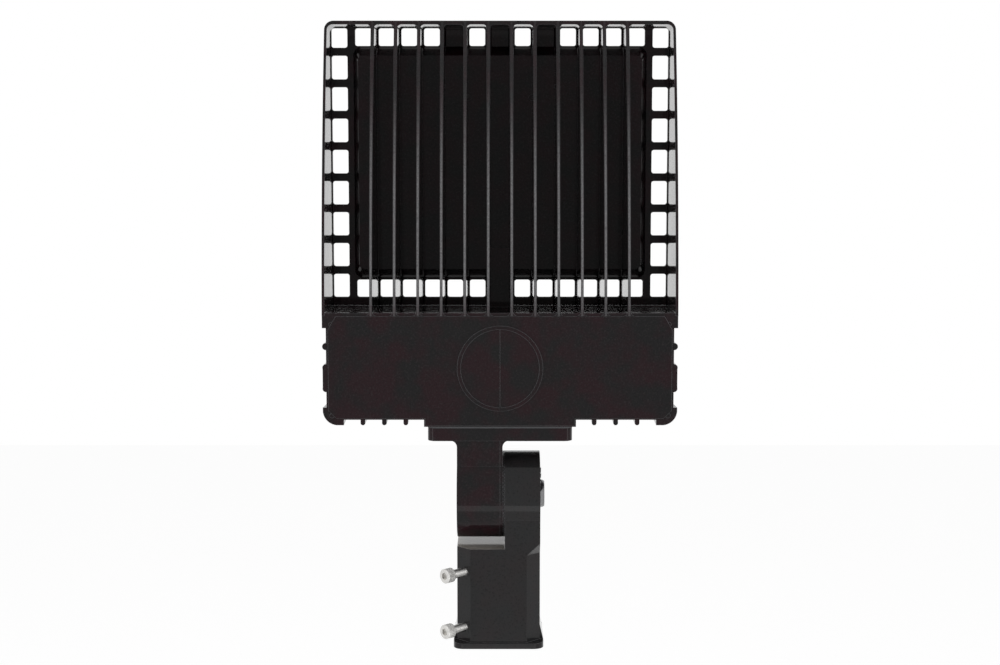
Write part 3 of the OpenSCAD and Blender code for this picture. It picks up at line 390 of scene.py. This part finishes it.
finishes = {
    "housing": powder_coat("powder_coat_housing", finned=True),
    "driver_cover": powder_coat("powder_coat_cover"),
    "mounting_bracket": powder_coat("powder_coat_bracket", tone=1.1, grain=1.1),
    "slip_fitter": powder_coat(
        "powder_coat_fitter", grain=1.1, pale_spots=0.3, warm=FITTER_WARM_BLACK,
        cool=FITTER_COOL_BLACK, skin_ior=1.24, painted_ledge=True,
    ),
    "clamp_screw_upper": socket_screw("clamp_steel_upper", "clamp_screw_upper"),
    "clamp_screw_lower": socket_screw("clamp_steel_lower", "clamp_screw_lower"),
    "pivot_bolt": black_steel,
    "pivot_washer": black_steel,
    "pivot_nut": zinc,
    "bracket_bolts": zinc,
    "bracket_washers": zinc,
    "inner_screws": zinc,
    "cover_screws": stainless,
    "board_screws": stainless,
    "lens_screws": stainless,
    "bracket_gasket": silicone,
    "cover_gasket": silicone,
    "lens_gasket": silicone,
    "wire_grommet": silicone,
    "lead_grommet": silicone,
    "input_lead": jacket,
    "led_lead": jacket,
    "led_driver": moulded("driver_case", (0.60, 0.61, 0.62), rough=0.42),
    "surge_protector": moulded("surge_case", (0.30, 0.025, 0.02), rough=0.4),
    "terminal_block": moulded("terminal_plastic", (0.72, 0.70, 0.64), rough=0.38),
    "led_boards": moulded("led_board", (0.78, 0.80, 0.79), rough=0.45, grain=1600.0, relief=0.00002),
    "led_chips": moulded("led_phosphor", (0.80, 0.56, 0.08), rough=0.5, grain=2500.0, relief=0.00002),
    "lens_plate": moulded(
        "clear_lens", (0.90, 0.93, 0.95), rough=0.10, grain=500.0, relief=0.00001,
        Transmission_Weight=0.92, IOR=1.49,
    ),
}
for name, thing in nodes.items():
    thing.data.materials.clear()
    thing.data.materials.append(finishes[name])


# ---- studio ----


WORLD_LEVEL = 0.84  # near this a colour renders about as it is written
WHITE_LEVEL = 1.0
FLOOR_LIFT = 0.3
FLOOR_Z = -0.7
FLOOR_HALF = 5.0
PANEL_TARGET = (0.0, 0.0, 0.25)

CAMERA_TARGET = (HEAD_X, 0.0, 0.2834)
CAMERA_DISTANCE = 1.47
CAMERA_DEGREES_UP = 6.0
CAMERA_LENS_MM = 58.25
CAMERA_SENSOR_MM = 36.0


def make_floor():
    """A plain pale floor that keeps the shadow, nearly white where camera, gloss or glass sees it."""
    corners = [(FLOOR_HALF * x, FLOOR_HALF * y, FLOOR_Z) for x, y in ((-1, -1), (1, -1), (1, 1), (-1, 1))]
    mesh = bpy.data.meshes.new("studio_floor")
    mesh.from_pydata(corners, [], [(0, 1, 2, 3)])
    floor = bpy.data.objects.new("studio_floor", mesh)
    bpy.context.scene.collection.objects.link(floor)

    material, t = new_material("floor_white")
    diffuse = t.node("BsdfDiffuse")
    diffuse.inputs["Color"].default_value = paint(PALE_FLOOR)
    lift = t.node("Emission")
    t.plug(lift.inputs["Strength"], t.math("MULTIPLY", t.background_rays(), FLOOR_LIFT))
    both = t.node("AddShader")
    t.plug(both.inputs[0], diffuse.outputs[0])
    t.plug(both.inputs[1], lift.outputs[0])
    t.finish(both.outputs[0])
    mesh.materials.append(material)


def make_world():
    """White on every side: at the plain level on the object, and full where the background shows."""
    world = bpy.data.worlds.new("studio")
    bpy.context.scene.world = world
    world.use_nodes = True
    t = Tree(world.node_tree)
    made = t.node("MixShader")
    t.plug(made.inputs[0], t.background_rays())
    t.plug(made.inputs[1], t.background(WORLD_LEVEL))
    t.plug(made.inputs[2], t.background(WHITE_LEVEL))
    t.finish(made.outputs[0], "OutputWorld")


def make_panel(name, place, width, height, watts):
    light = bpy.data.lights.new(name, "AREA")
    light.shape = "RECTANGLE"
    light.size = width
    light.size_y = height
    light.energy = watts
    lamp = bpy.data.objects.new(name, light)
    lamp.location = place
    aim = Vector(PANEL_TARGET) - Vector(place)
    lamp.rotation_euler = aim.to_track_quat("-Z", "Y").to_euler()
    bpy.context.scene.collection.objects.link(lamp)


def make_camera():
    """Straight at the finned back from slightly above, as the photograph was taken."""
    rise = math.radians(CAMERA_DEGREES_UP)
    camera = bpy.data.objects.new("camera", bpy.data.cameras.new("camera"))
    camera.data.sensor_width = CAMERA_SENSOR_MM
    camera.data.lens = CAMERA_LENS_MM
    back_off = CAMERA_DISTANCE * Vector((0.0, -math.cos(rise), math.sin(rise)))
    camera.location = Vector(CAMERA_TARGET) + back_off
    camera.rotation_euler = (math.radians(90.0 - CAMERA_DEGREES_UP), 0.0, 0.0)
    bpy.context.scene.collection.objects.link(camera)
    bpy.context.scene.camera = camera


make_floor()
make_world()
make_camera()
make_panel("low_panel", (0.0, -1.2, -0.6), width=1.4, height=0.5, watts=3.0)
for name, x in (("left_panel", -1.5), ("right_panel", 1.5)):
    make_panel(name, (x, -1.0, 0.4), width=0.5, height=1.4, watts=5.0)
make_panel("top_panel", (0.0, 0.9, 1.6), width=1.4, height=0.6, watts=2.0)

view = bpy.context.scene.view_settings
view.view_transform = "Standard"
